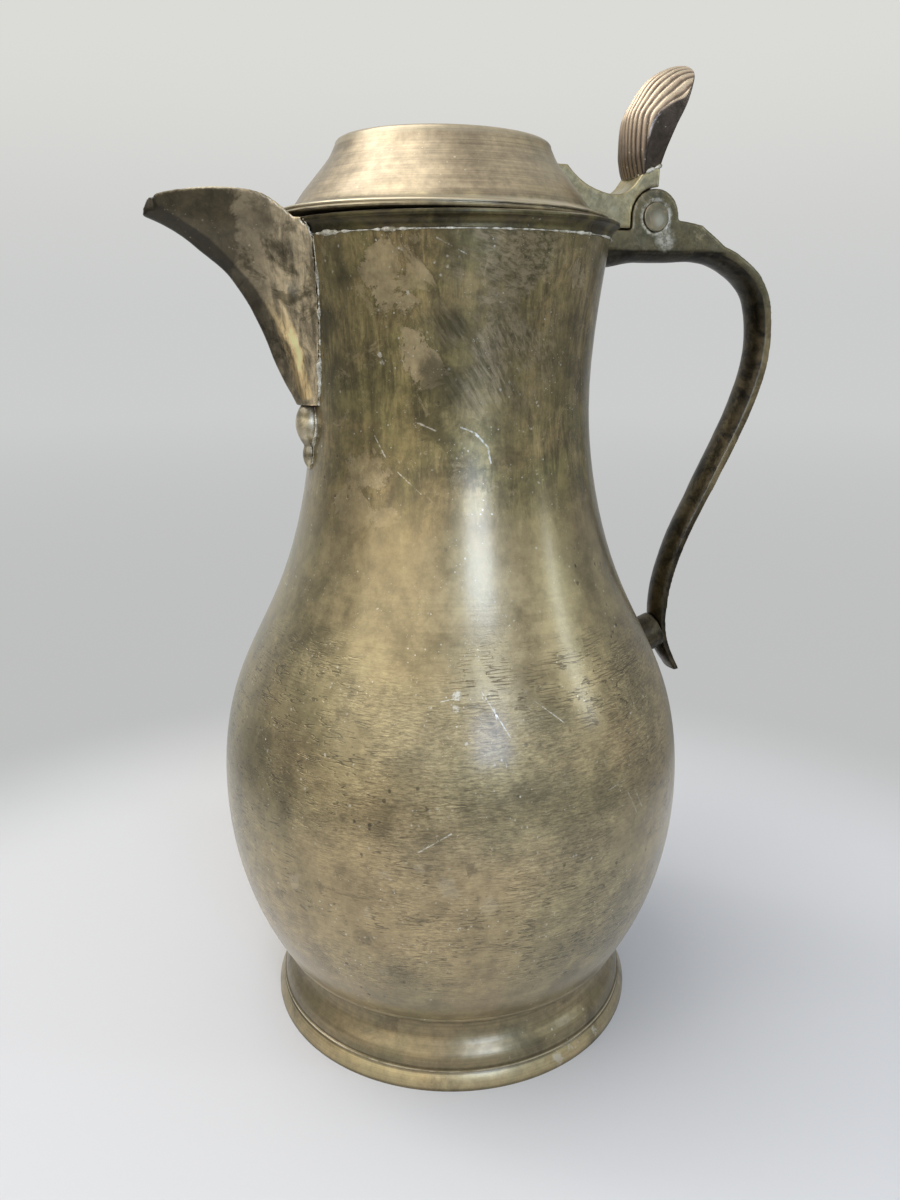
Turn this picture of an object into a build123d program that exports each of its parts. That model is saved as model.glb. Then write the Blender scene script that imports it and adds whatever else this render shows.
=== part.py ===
from build123d import *

import os
from math import atan2, cos, degrees, radians, sin, tan

# Pewter pitcher with a hinged lid. Millimetres, +Z up, the origin on the vessel's axis at the
# foot's underside, the handle towards +X and the spout towards -X. Every outline is written as
# (radius or x, z), and Plane.XZ looks along +Y, so its near side is -Y.
os.makedirs("parts", exist_ok=True)

# Vessel wall, from the seam with the foot up to the mouth
wall = 2.0
body_outline = [
    (60.7, 25.0), (72.5, 55.0), (75.4, 85.0), (70.2, 115.0), (56.0, 145.0),
    (46.3, 175.0), (43.0, 205.0), (44.9, 232.0), (47.5, 250.0),
]
body_foot_radius, body_foot_height = body_outline[0]
mouth_radius, mouth_height = body_outline[-1]
bore_radius = mouth_radius - wall
body_seam = 100.0

# Rim collar: a cove that rises from the solder line to a rounded lip
rim_top = 254.6
cove_foot = (48.0, 250.4)
cove_bend = (48.6, 252.1)
lip_under = (50.0, 253.3)
lip_edge = (50.2, 254.0)
lip_top = (49.7, rim_top)

# Foot: a hollow cast ring with a conical band, a fine raised line, a roll and a cove
foot_radius = 62.1
foot_edge = 1.2
foot_height = 22.5
foot_neck = 56.4
foot_seat_width = 3.2
foot_wall = 2.4
band_top = (60.1, 5.3)
line_crest = (60.35, 5.75)
roll_start = (59.6, 6.1)
roll_crest = (59.2, 9.2)
roll_end = (57.0, 12.2)
cove_waist = (55.0, 17.0)
foot_inside = [(54.6, 11.6), (57.4, 8.0), (57.9, 4.8)]

# Floor of the vessel, in a flange of the lower half that sits on the foot
floor_radius = 50.0
floor_thick = 2.4
floor_rise = 1.4
flange_thick = 2.1
flange_radius = 57.8
flange_bend = (59.7, 23.3)

# Spout: height, keel x, crease x, crease y and half width at the root of its level sections
spout_stations = [
    (204.0, -47.7, -46.6, 3.3, 11.3),
    (208.0, -49.6, -47.1, 3.6, 12.3),
    (214.0, -52.5, -47.9, 4.0, 13.7),
    (224.0, -56.3, -51.0, 4.7, 16.4),
    (234.0, -61.1, -55.9, 5.3, 18.3),
    (242.0, -67.1, -61.3, 5.8, 19.3),
    (248.0, -74.4, -66.4, 6.1, 20.0),
    (252.0, -80.3, -71.8, 5.9, 20.9),
    (255.0, -87.0, -75.8, 5.6, 21.5),
    (258.0, -94.0, -79.5, 5.3, 21.7),
    (263.0, -105.0, -85.0, 4.8, 22.2),
]
spout_root = -36.0
keel_half_width = 1.3
keel_round = 0.8
keel_wall, side_wall = 3.0, 2.1
crease_wall_x, crease_wall_y, keel_wall_y = 1.0, 1.5, 0.6
spout_arch = [
    (-49.4, 254.4), (-52.6, 257.3), (-56.6, 259.9), (-63.0, 261.5),
    (-72.0, 261.7), (-79.0, 261.0), (-84.7, 259.6), (-88.0, 257.6),
]
arch_clear = [(-100.0, 257.6), (-100.0, 270.0), (-30.0, 270.0), (-30.0, 254.4)]
tip_radius = 3.1
tip_x = -86.8
spout_space = 80.0

# Opening through the neck behind the spout: half width and height of a V
notch = [(0.0, 209.0), (12.2, 240.0), (13.0, 252.0), (13.0, 262.0)]
notch_front, notch_depth = -60.0, 30.0

# Drop under the spout: a large bead over a small one that ends in a point
drop_x = -44.1
drop_top = (2.4, spout_stations[0][0])
bead_crest = (4.2, 198.3)
bead_waist = (1.9, 192.2)
tear_crest = (2.5, 189.2)
tear_foot = (0.9, 185.2)
drop_tip = 183.7

# Hinge: pin line, ears on the handle's block, one tongue on the lid's arm between them
hinge_x, hinge_z = 66.2, 258.5
hinge_half_width = 7.0
ear_radius = 8.3
tongue_radius = 8.0
tongue_half = 2.5
slit = 0.4
side_gap = 0.2
pin_radius = 2.0
pin_clearance = 0.05
cap_radius = 4.3
cap_recess = 1.4
cap_proud = 0.4
cap_round = 0.3

# Handle: the line of its outer face seen from the side, with the bar's width, the height of its
# flat side strip and the swell of its inner face at shares of that line
handle_line = [
    (48.0, 250.6), (63.0, 251.0), (78.0, 251.6), (89.5, 251.2), (98.1, 248.2), (105.6, 243.6),
    (111.2, 236.8), (113.9, 227.5), (113.9, 214.0), (110.2, 201.0), (104.2, 187.7),
    (97.0, 174.0), (90.0, 160.6), (83.8, 147.0), (80.5, 133.5), (80.1, 123.5),
    (82.2, 115.5), (85.4, 108.3), (88.4, 101.8),
]
bar_measures = [
    (0.00, 14.0, 2.9, 3.0), (0.21, 14.0, 3.0, 2.9), (0.36, 11.6, 2.8, 2.7),
    (0.60, 11.0, 2.6, 2.5), (0.88, 10.0, 2.0, 1.9), (1.00, 8.4, 1.5, 0.8),
]
bar_sections = 21
tip_cut_depth = 12.0
block_front = 44.0
block_floor = 249.0
block_top = rim_top
ear_foot = (74.48, 257.9)
block_back = [ear_foot, (77.0, 257.6), (83.7, 256.6), (85.3, 255.4), (92.5, 250.6)]

# Strut: a short round bar from the belly to the handle's inner face
strut_radius = 6.5
strut_end_x, strut_end_z = 78.2, 120.8
strut_slope = 20.0
strut_length = 18.0

# Lid: radius and height over the brim's underside. It sits askew: its axis is moved towards the
# spout and leans, so its brim rests level on the rim near the hinge and is raised over the spout
lid_offset = -2.0
lid_tilt = 1.1
lid_touch_x = 0.0
lid_seat = rim_top + 0.2
lid_wall = 1.8
brim_radius, brim_height = 48.7, 1.9
dome_outline = [(44.0, 2.8), (40.7, 7.4), (36.9, 12.0), (33.2, 16.6), (31.3, 20.4)]
crown_bend = (31.0, 21.4)
crown_radius, crown_height = 29.9, 21.9
hollow_outline = [(41.6, 1.6), (38.6, 7.4), (34.8, 12.0), (31.1, 16.6)]
hollow_crown_radius = 28.8

# Lid arm, seen from the side, from the lid's slope over the rim to the thumbpiece's seat
arm_start = 26.0
arm_under = rim_top + slit
arm_top = [
    (35.4, 272.4), (38.6, 269.3), (44.0, 266.3), (50.0, 264.8),
    (54.5, 265.1), (58.3, 267.5), (60.6, 270.5),
]
seat_back = (66.9, 273.3)
arm_back_foot = (66.7, 266.9)
tongue_root_top = 9.3
tongue_root_corner = 6.4

# Thumbpiece: a ribbed shell that leans back. Its sections fan from the seat to the back's rim:
# back edge (x, z), turn towards the handle, half width, flank depth, swell of the ribbed front
seat_slope = degrees(atan2(seat_back[1] - arm_top[-1][1], seat_back[0] - arm_top[-1][0]))
shell_sections = [
    (66.9, 273.3, -seat_slope, 6.8, 6.4, 1.5),
    (67.5, 276.0, -16.0, 7.5, 7.2, 2.0),
    (68.3, 279.0, -7.0, 8.3, 7.8, 2.7),
    (70.3, 284.8, 9.0, 9.7, 7.9, 4.4),
    (71.8, 288.1, 22.0, 10.3, 5.0, 6.7),
    (73.2, 291.3, 37.0, 10.5, 1.4, 9.1),
    (75.0, 295.6, 54.0, 9.6, 0.6, 6.5),
    (76.9, 298.8, 70.0, 7.2, 0.5, 3.5),
    (78.0, 300.8, 84.0, 4.0, 0.4, 1.4),
]
rib_count = 13
rib_share = 0.045


def wall_section():
    """Half section of the vessel's wall, from the foot's seam to the mouth."""
    inner = [(radius - wall, height) for radius, height in body_outline]
    with BuildSketch(Plane.XZ) as section:
        with BuildLine():
            Spline(*body_outline)
            Line(body_outline[-1], inner[-1])
            Spline(*reversed(inner))
            Line(inner[0], body_outline[0])
        make_face()
    return section.sketch


def collar_section():
    """Half section of the rim collar."""
    with BuildSketch(Plane.XZ) as section:
        with BuildLine():
            seat = [(bore_radius, mouth_height), (mouth_radius, mouth_height)]
            Polyline((bore_radius, rim_top), *seat, cove_foot)
            ThreePointArc(cove_foot, cove_bend, lip_under)
            ThreePointArc(lip_under, lip_edge, lip_top)
            Line(lip_top, (bore_radius, rim_top))
        make_face()
    return section.sketch


def spout_section(height, keel_x, crease_x, crease_y, root_y):
    """Level section of the spout: a blunt keel, a facet to each crease, a side to the neck."""
    with BuildSketch(Plane.XY.offset(height)) as section:
        with BuildLine():
            keel_side = (keel_x + keel_round, keel_half_width)
            Polyline((spout_root, -root_y), (crease_x, -crease_y), (keel_side[0], -keel_side[1]))
            ThreePointArc((keel_side[0], -keel_side[1]), (keel_x, 0), keel_side)
            Polyline(keel_side, (crease_x, crease_y), (spout_root, root_y), (spout_root, -root_y))
        make_face()
    return section.sketch


def channel_section(height, keel_x, crease_x, crease_y, root_y):
    """Level section of the spout's inside, one wall within its outside."""
    with BuildSketch(Plane.XY.offset(height)) as section:
        with BuildLine():
            keel_side = (keel_x + keel_wall + keel_round, keel_half_width - keel_wall_y)
            crease = (crease_x + crease_wall_x, crease_y - crease_wall_y)
            root = (spout_root, root_y - side_wall)
            Polyline((root[0], -root[1]), (crease[0], -crease[1]), (keel_side[0], -keel_side[1]))
            ThreePointArc((keel_side[0], -keel_side[1]), (keel_x + keel_wall, 0), keel_side)
            Polyline(keel_side, crease, root, (root[0], -root[1]))
        make_face()
    return section.sketch


def hinge_disc(radius, offset=0.0):
    """Round face about the hinge's line, offset towards the near side."""
    with BuildSketch(Plane.XZ.offset(offset)) as disc:
        with Locations((hinge_x, hinge_z)):
            Circle(radius)
    return disc.sketch


def bar_section(share):
    """Section of the handle's bar: flat outside, two strips and a swelling inner face."""
    for low, high in zip(bar_measures, bar_measures[1:]):
        if low[0] <= share <= high[0]:
            part = (share - low[0]) / (high[0] - low[0])
            width, strip, swell = [a + part * (b - a) for a, b in zip(low[1:], high[1:])]
    side = width / 2
    plane = Plane(origin=handle_edge @ share, x_dir=(0, 1, 0), z_dir=handle_edge % share)
    with BuildSketch(plane) as section:
        with BuildLine():
            Polyline((-side, -strip), (-side, 0), (side, 0), (side, -strip))
            ThreePointArc((side, -strip), (0, -strip - swell), (-side, -strip))
        make_face()
    return section.sketch


def shell_section(back_x, back_z, turn, half_width, flank, swell):
    """Section of the thumbpiece: flat back, two flanks and a swelling front of round ribs."""
    turned = radians(turn)
    plane = Plane(
        origin=(back_x, 0, back_z),
        x_dir=(cos(turned), 0, -sin(turned)),
        z_dir=(sin(turned), 0, cos(turned)),
    )
    with BuildSketch(plane) as section:
        with BuildLine():
            Polyline((-flank, half_width), (0, half_width), (0, -half_width), (-flank, -half_width))
            for rib in range(rib_count):
                spots = [-1 + 2 * (rib + step) / rib_count for step in (0, 0.5, 1)]
                start, crest, end = [(-flank - swell * (1 - u * u), half_width * u) for u in spots]
                ThreePointArc(start, (crest[0] - rib_share * half_width, crest[1]), end)
        make_face()
    return section.sketch


# Foot ring
with BuildPart() as foot_ring:
    with BuildSketch(Plane.XZ):
        with BuildLine():
            Polyline((foot_radius, 0), (foot_radius, foot_edge), band_top)
            ThreePointArc(band_top, line_crest, roll_start)
            ThreePointArc(roll_start, roll_crest, roll_end)
            ThreePointArc(roll_end, cove_waist, (foot_neck, foot_height))
            seat_inside = (foot_neck - foot_seat_width, foot_height)
            Line((foot_neck, foot_height), seat_inside)
            ThreePointArc(seat_inside, (cove_waist[0] - foot_wall, cove_waist[1]), foot_inside[0])
            Polyline(*foot_inside, (foot_radius - foot_wall, 0), (foot_radius, 0))
        make_face()
    revolve(axis=Axis.Z)
foot_ring.part.label = "foot_ring"

# Lower half of the vessel, with the flange that holds its floor
with BuildPart() as belly_bowl:
    add(wall_section())
    revolve(axis=Axis.Z)
    split(bisect_by=Plane.XY.offset(body_seam), keep=Keep.BOTTOM)
    with BuildSketch(Plane.XZ):
        with BuildLine():
            inner_foot = (body_foot_radius - wall, body_foot_height)
            flange_top = foot_height + flange_thick
            Polyline(body_outline[0], inner_foot, (floor_radius, flange_top), (floor_radius, foot_height))
            Line((floor_radius, foot_height), (flange_radius, foot_height))
            ThreePointArc((flange_radius, foot_height), flange_bend, body_outline[0])
        make_face()
    revolve(axis=Axis.Z)
belly_bowl.part.label = "belly_bowl"

# Floor of the vessel, dished up a little: both faces are parts of a sphere about the axis
with BuildPart() as base_disc:
    with BuildSketch(Plane.XZ):
        with BuildLine():
            under_edge, under_middle = (floor_radius, foot_height), (0, foot_height + floor_rise)
            over_edge = (floor_radius, foot_height + flange_thick)
            over_middle = (0, foot_height + floor_rise + floor_thick)
            sphere_radius = (floor_radius**2 + floor_rise**2) / (2 * floor_rise)
            upper_rise = over_middle[1] - over_edge[1]
            upper_radius = (floor_radius**2 + upper_rise**2) / (2 * upper_rise)
            RadiusArc(under_middle, under_edge, sphere_radius)
            Line(under_edge, over_edge)
            RadiusArc(over_middle, over_edge, upper_radius)
            Line(over_middle, under_middle)
        make_face()
    revolve(axis=Axis.Z)
base_disc.part.label = "base_disc"

# The opening through the neck behind the spout
with BuildPart() as notch_space:
    with BuildSketch(Plane.YZ.offset(notch_front)):
        with BuildLine():
            Polyline(*notch, *[(-y, z) for y, z in reversed(notch[1:])], notch[0])
        make_face()
    extrude(amount=notch_depth)

# Upper half of the vessel: shoulder and neck
with BuildPart() as upper_body:
    add(wall_section())
    revolve(axis=Axis.Z)
    split(bisect_by=Plane.XY.offset(body_seam), keep=Keep.TOP)
    add(notch_space.part, mode=Mode.SUBTRACT)
upper_body.part.label = "upper_body"

# Rim collar, soldered on the mouth and open behind the spout
with BuildPart() as rim_collar:
    add(collar_section())
    revolve(axis=Axis.Z)
    add(notch_space.part, mode=Mode.SUBTRACT)
rim_collar.part.label = "rim_collar"

# The vessel filled solid, which trims the pieces soldered to its outside
with BuildPart() as vessel_core:
    with BuildSketch(Plane.XZ):
        with BuildLine():
            Spline(*body_outline)
            Polyline(body_outline[-1], (0, mouth_height), (0, body_foot_height), body_outline[0])
        make_face()
    revolve(axis=Axis.Z)
    add(collar_section())
    revolve(axis=Axis.Z)
    with BuildSketch(Plane.XY.offset(mouth_height)):
        Circle(bore_radius)
    extrude(amount=rim_top - mouth_height)

# Inside of the spout, over its solid foot
with BuildPart() as spout_channel:
    for station in spout_stations[1:]:
        add(channel_section(*station))
    loft()

# Spout: a keeled beak, open above, soldered over the neck's opening
with BuildPart() as spout:
    for station in spout_stations:
        add(spout_section(*station))
    loft()
    add(spout_channel.part, mode=Mode.SUBTRACT)
    add(vessel_core.part, mode=Mode.SUBTRACT)
    with BuildSketch(Plane.XZ):
        with BuildLine():
            Spline(*spout_arch)
            Polyline(spout_arch[-1], *arch_clear, spout_arch[0])
        make_face()
    extrude(amount=spout_space, both=True, mode=Mode.SUBTRACT)
    with BuildSketch(Plane.XY.offset(spout_stations[0][0])):
        with Locations((tip_x + tip_radius, 0)):
            Circle(tip_radius)
            Rectangle(spout_space, spout_space, align=(Align.MIN, Align.CENTER))
    extrude(amount=spout_space, mode=Mode.INTERSECT)
spout.part.label = "spout"

# Drop under the spout
with BuildPart() as spout_drop:
    with BuildSketch(Plane.XZ):
        with BuildLine():
            top, crest, waist, tear, foot = [
                (drop_x - radius, height)
                for radius, height in (drop_top, bead_crest, bead_waist, tear_crest, tear_foot)
            ]
            Line((drop_x, drop_top[1]), top)
            ThreePointArc(top, crest, waist)
            ThreePointArc(waist, tear, foot)
            Polyline(foot, (drop_x, drop_tip), (drop_x, drop_top[1]))
        make_face()
    revolve(axis=Axis((drop_x, 0, 0), (0, 0, 1)))
    add(vessel_core.part, mode=Mode.SUBTRACT)
spout_drop.part.label = "spout_drop"

with BuildLine(Plane.XZ) as handle_path:
    Spline(*handle_line)
handle_edge = handle_path.line.edges()[0]

# Handle: the block with the hinge's ears and the bar that hangs from it, cast as one
with BuildPart() as handle:
    for station in range(bar_sections):
        add(bar_section(station / (bar_sections - 1)))
    loft()
    tip_way, tip_width = handle_edge % 1, bar_measures[-1][1]
    with BuildSketch(Plane(origin=handle_edge @ 1, x_dir=(0, 1, 0), z_dir=(tip_way.Z, 0, -tip_way.X))):
        Rectangle(2 * tip_width, tip_width)
        with Locations((0, tip_width / 2)):
            Circle(tip_width / 2, mode=Mode.SUBTRACT)
    extrude(amount=tip_cut_depth, both=True, mode=Mode.SUBTRACT)
    with BuildSketch(Plane.XZ):
        with BuildLine():
            ear_front = hinge_x - ear_radius
            Polyline((block_front, block_floor), (block_front, block_top), (ear_front, block_top))
            Line((ear_front, block_top), (ear_front, hinge_z))
            ThreePointArc((ear_front, hinge_z), (hinge_x, hinge_z + ear_radius), ear_foot)
            Polyline(*block_back, (block_back[-1][0], block_floor), (block_front, block_floor))
        make_face()
    extrude(amount=hinge_half_width, both=True)
    tongue_space = hinge_disc(tongue_radius + slit)
    extrude(tongue_space, amount=tongue_half + side_gap, both=True, mode=Mode.SUBTRACT)
    extrude(hinge_disc(pin_radius), amount=hinge_half_width, both=True, mode=Mode.SUBTRACT)
    for side in (-1, 1):
        recess_floor = side * (hinge_half_width - cap_recess)
        extrude(hinge_disc(cap_radius, recess_floor), amount=side * cap_recess, mode=Mode.SUBTRACT)
    add(vessel_core.part, mode=Mode.SUBTRACT)
handle.part.label = "handle"

# Strut between the belly and the handle's foot
with BuildPart() as handle_strut:
    slope = radians(strut_slope)
    outwards = (cos(slope), 0, sin(slope))
    with BuildSketch(Plane(origin=(strut_end_x, 0, strut_end_z), x_dir=(0, 1, 0), z_dir=outwards)):
        Circle(strut_radius)
    extrude(amount=-strut_length)
    add(vessel_core.part, mode=Mode.SUBTRACT)
    add(handle.part, mode=Mode.SUBTRACT)
handle_strut.part.label = "handle_strut"

# Hinge pin, tight in both ears
with BuildPart() as hinge_pin:
    extrude(hinge_disc(pin_radius), amount=hinge_half_width - cap_recess, both=True)
hinge_pin.part.label = "hinge_pin"

# Caps soldered over the pin's ends
pin_caps = {}
for cap_name, side in (("pin_cap_near", 1), ("pin_cap_far", -1)):
    with BuildPart() as cap:
        recess_floor = side * (hinge_half_width - cap_recess)
        extrude(hinge_disc(cap_radius, recess_floor), amount=side * (cap_recess + cap_proud))
        rims = cap.edges().filter_by(GeomType.CIRCLE).sort_by(Axis.Y)
        fillet(rims[0] if side > 0 else rims[-1], radius=cap_round)
    cap.part.label = cap_name
    pin_caps[cap_name] = cap

# The lid's own axis, which leans towards the handle
tilt = radians(lid_tilt)
lid_base = lid_seat + (lid_touch_x - lid_offset) * tan(tilt)
lid_plane = Plane(origin=(lid_offset, 0, lid_base), x_dir=(cos(tilt), 0, -sin(tilt)), z_dir=(0, -1, 0))
lid_axis = Axis((lid_offset, 0, lid_base), (sin(tilt), 0, cos(tilt)))

# The lid filled solid, which is hollowed below and trims the arm that is soldered on it
with BuildPart() as lid_form:
    with BuildSketch(lid_plane):
        with BuildLine():
            Polyline((0, 0), (brim_radius, 0), (brim_radius, brim_height), dome_outline[0])
            Spline(*dome_outline)
            ThreePointArc(dome_outline[-1], crown_bend, (crown_radius, crown_height))
            Polyline((crown_radius, crown_height), (0, crown_height), (0, 0))
        make_face()
    revolve(axis=lid_axis)

# Lid: a brim, a steep dome and a flat crown, level below where it meets the rim
with BuildPart() as lid:
    add(lid_form.part)
    with BuildSketch(lid_plane):
        with BuildLine():
            hollow_foot = (hollow_outline[0][0], 0)
            crown_inside = crown_height - lid_wall
            Polyline((0, 0), hollow_foot, hollow_outline[0])
            Spline(*hollow_outline, (hollow_crown_radius, crown_inside))
            Polyline((hollow_crown_radius, crown_inside), (0, crown_inside), (0, 0))
        make_face()
    revolve(axis=lid_axis, mode=Mode.SUBTRACT)
    split(bisect_by=Plane.XY.offset(lid_seat), keep=Keep.TOP)
lid.part.label = "lid"

# Lid arm: from the lid's slope over the rim to the hinge, cut away round the ears
with BuildPart() as lid_arm:
    with BuildSketch(Plane.XZ):
        with BuildLine():
            arm_front = hinge_x - ear_radius - slit
            Line((arm_start, arm_top[0][1]), arm_top[0])
            Spline(*arm_top)
            Polyline(arm_top[-1], seat_back, arm_back_foot, (hinge_x, hinge_z), (arm_front, hinge_z))
            Polyline((arm_front, hinge_z), (arm_front, arm_under), (arm_start, arm_under))
            Line((arm_start, arm_under), (arm_start, arm_top[0][1]))
        make_face()
    extrude(amount=hinge_half_width, both=True)
    extrude(hinge_disc(ear_radius + slit), amount=hinge_half_width, both=True, mode=Mode.SUBTRACT)
    extrude(hinge_disc(tongue_radius), amount=tongue_half, both=True)
    with BuildSketch(Plane.XZ):
        with BuildLine():
            root_side = hinge_x - tongue_root_top
            root_corner = (hinge_x - tongue_root_corner, hinge_z + tongue_root_corner)
            Polyline((hinge_x, hinge_z), (hinge_x, hinge_z + tongue_root_top), root_corner)
            Polyline(root_corner, (root_side, hinge_z), (hinge_x, hinge_z))
        make_face()
    extrude(amount=tongue_half, both=True)
    pin_bore = hinge_disc(pin_radius + pin_clearance)
    extrude(pin_bore, amount=hinge_half_width, both=True, mode=Mode.SUBTRACT)
    add(lid_form.part, mode=Mode.SUBTRACT)
lid_arm.part.label = "lid_arm"

# Thumbpiece
with BuildPart() as thumbpiece:
    for measures in shell_sections:
        add(shell_section(*measures))
    loft()
thumbpiece.part.label = "thumbpiece"

pieces = {
    "foot_ring": foot_ring, "base_disc": base_disc, "belly_bowl": belly_bowl,
    "upper_body": upper_body, "rim_collar": rim_collar, "spout": spout,
    "spout_drop": spout_drop, "handle": handle, "handle_strut": handle_strut,
    "hinge_pin": hinge_pin, **pin_caps, "lid": lid, "lid_arm": lid_arm,
    "thumbpiece": thumbpiece,
}
for name, piece in pieces.items():
    export_step(piece.part, f"parts/{name}.step")
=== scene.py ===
from math import cos, pi, radians, sin, sqrt, tan

import bmesh
import bpy
from mathutils import Matrix, Vector, noise
from mathutils.geometry import interpolate_bezier


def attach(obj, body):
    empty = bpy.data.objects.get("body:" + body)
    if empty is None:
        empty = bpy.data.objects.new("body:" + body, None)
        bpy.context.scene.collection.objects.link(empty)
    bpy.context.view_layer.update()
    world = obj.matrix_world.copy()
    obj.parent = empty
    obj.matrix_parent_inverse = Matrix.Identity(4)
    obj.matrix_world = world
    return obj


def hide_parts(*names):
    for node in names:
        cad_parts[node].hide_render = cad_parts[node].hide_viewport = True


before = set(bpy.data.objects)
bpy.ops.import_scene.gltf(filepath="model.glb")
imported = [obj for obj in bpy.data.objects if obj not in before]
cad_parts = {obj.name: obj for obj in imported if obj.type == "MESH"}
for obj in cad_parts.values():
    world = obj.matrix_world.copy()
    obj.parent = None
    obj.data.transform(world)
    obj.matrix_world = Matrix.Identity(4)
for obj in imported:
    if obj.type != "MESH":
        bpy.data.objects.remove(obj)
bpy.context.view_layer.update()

bl_info = {
    "name": "Pewter pitcher",
    "version": (1, 0, 0),
    "blender": (4, 5, 0),
    "location": "3D View > Sidebar > Pitcher",
    "description": "Dresses the pewter pitcher's pieces with turned, cast and worn metal",
    "category": "Add Mesh",
}

# Everything is in metres, in the part's own frame: +Z up on the vessel's axis, the handle towards +X
# and the spout towards -X. Outlines are written in millimetres as (radius or x, z).
MM = 0.001

# Outlines of the turned pieces, in millimetres
NECK_TOP = 250.0
NECK_LINE = [(70.2, 115), (56.0, 145), (46.3, 175), (43.0, 205), (44.9, 232), (47.5, NECK_TOP)]
RIM_TOP = 254.6
BORE = 45.5
COLLAR_INSIDE = [(BORE, RIM_TOP), (BORE, NECK_TOP), (47.5, NECK_TOP)]
LIP = [(48, 250.4), (48.1, 251.5), (48.6, 252.4), (49.4, 253), (50, 253.3), (50.2, 253.8)]
LIP_TOP = [(50.15, 254.2), (49.8, 254.5), (49.3, RIM_TOP)]
# How far the lip leans out for its height, and half the width of the opening behind the spout
LIP_LEAN = 0.45
NOTCH_HALF = 13.0

FOOT_OUTSIDE = [
    (62.1, 0), (62.1, 1.2), (61.2, 3.2), (60.35, 5), (60.05, 5.3), (60.3, 5.55), (60.3, 5.85),
    (59.75, 6.1), (59.75, 7.2), (59.2, 9.2), (58.3, 10.9), (57, 12.2), (55.9, 14), (55.15, 15.9),
    (55.05, 17.6), (55.25, 19.6), (55.7, 21.2), (56.4, 22.5),
]
FOOT_INSIDE = [(53.2, 22.5), (52.6, 17), (54.6, 11.6), (57.4, 8), (57.9, 4.8), (59.7, 0)]

# The lid's place on the axis, its tilt, the height of its seat, and its outline from there
LID_OFFSET = -2.0
LID_TILT = radians(1.1)
LID_SEAT = RIM_TOP + 0.2
BRIM = [
    (41.6, 0), (48.2, 0), (48.55, 0.15), (48.7, 0.5), (48.6, 0.85), (48.25, 0.98), (48.25, 1.12),
    (48.6, 1.25), (48.65, 1.55), (48.45, 1.85), (47.9, 2.05), (46.4, 2.2), (45, 2.5), (44, 3),
]
DOME = [(44, 3), (42.6, 4.7), (40.7, 7.4), (36.9, 12), (33.2, 16.6), (31.3, 20.3)]
CROWN = [(31.15, 21), (30.8, 21.5), (30.2, 21.85), (29.3, 21.9), (15, 21.9), (0, 21.9)]
LID_INSIDE = [(0, 20.1), (28.8, 20.1), (31.1, 16.6), (34.8, 12), (38.6, 7.4), (41.6, 1.6)]

# Level sections of the spout: height, crease x, crease y, half width at the root
SPOUT_ROOT = -36.0
SPOUT_SIDES = [
    (204, -46.6, 3.3, 11.3), (208, -47.1, 3.6, 12.3), (214, -47.9, 4, 13.7), (224, -51, 4.7, 16.4),
    (234, -55.9, 5.3, 18.3), (242, -61.3, 5.8, 19.3), (248, -66.4, 6.1, 20), (252, -71.8, 5.9, 20.9),
    (255, -75.8, 5.6, 21.5),
]
DROP_AXIS = -44.1
DROP_LINE = [
    (2.4, 203.8), (3.6, 201.6), (4.2, 198.3), (3.6, 195), (1.9, 192.2), (2.3, 190.8), (2.5, 189.2),
    (1.9, 187), (0.6, 184.8),
]

# Hinge, and the thumbpiece: half of its seat's outline, and sections with back edge (x, z), turn,
# half width, flank depth and swell. Its ribs are at full depth from a half width of FULL_RIBS.
HINGE = (66.2, 258.5)
SEAT = [(60.6, 0, 270.5), (60.6, 4.69, 270.5), (62.3, 6.7, 271.3), (66.9, 6.7, 273.3)]
SEAT_STEPS = 14
FULL_RIBS = 8
RIB_POINTS = 8
RIB_MIDDLE = 0.6
FLANK_SHARES = [0.45, 0.86]
SHELL = [
    (66.9, 273.3, -24, 6.8, 6.4, 1.5), (67.5, 276, -16, 7.5, 7.2, 2), (68.3, 279, -7, 8.3, 7.8, 2.7),
    (70.3, 284.8, 9, 9.7, 7.9, 4.4), (71.8, 288.1, 22, 10.3, 5, 6.7), (73.2, 291.3, 37, 10.5, 1.4, 9.1),
    (75, 295.6, 54, 9.6, 0.6, 6.5), (76.9, 298.8, 70, 7.2, 0.5, 3.5), (78, 300.8, 84, 4, 0.4, 1.4),
]

# Solder: scale and height of its lumps, limits of its thickness, lowest height, gap and number of
# points of the seams, and radius, height and half gap in degrees of the ring below the collar
SOLDER_LUMPS = [(150, 1.3), (420, 1.3), (1300, 0.78)]
THINNEST, THICKEST = 0.2, 2.4
SPOUT_SEAM = (204.5, 0.5, 100)
SPOUT_SOLDER = 1.35
DROP_SEAM = (184.9, 0.3, 63)
SOLDER_RING = (47.75, 250.1, 19)
RING_SOLDER = 0.9

# Where finishes begin and end, in metres: from nothing to full, or low, high and how far each fades
NECK_START = (0.158, 0.19)
SHOULDER_END = (0.16, 0.15)
BELLY = (0.05, 0.125, 0.02, 0.025)
BELLY_BAND = (0.099, 0.106, 0.005, 0.006)
# Height of the painted contact shadow along the foot's lower edge
FOOT_CONTACT_SHADOW = (0.0002, 0.0016)
# Top of the foot's cone, which a painted reflection lightens
FOOT_CONE_SHEEN = (0.0045, 0.0052)
FOOT_CORNERS = [(0.0049, 0.0052), (0.0061, 0.0065), (0.0195, 0.0225)]
FOOT_RIDGE = (0.0055, 0.0058, 0.0002, 0.0002)
BRIM_END = (0.2602, 0.2578)
CROWN_EDGE = (0.0297, 0.0312, 0.001, 0.0006)
SPOUT_BACK = (-0.06, -0.05)
# Height where the painted highlight along the spout's crease fades out
CREASE_HIGHLIGHT_END = (0.236, 0.221)
DROP_GROOVES = [(0.1895, 0.1935), (0.2015, 0.206)]
GRIP_TOP = (0.238, 0.225)

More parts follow.
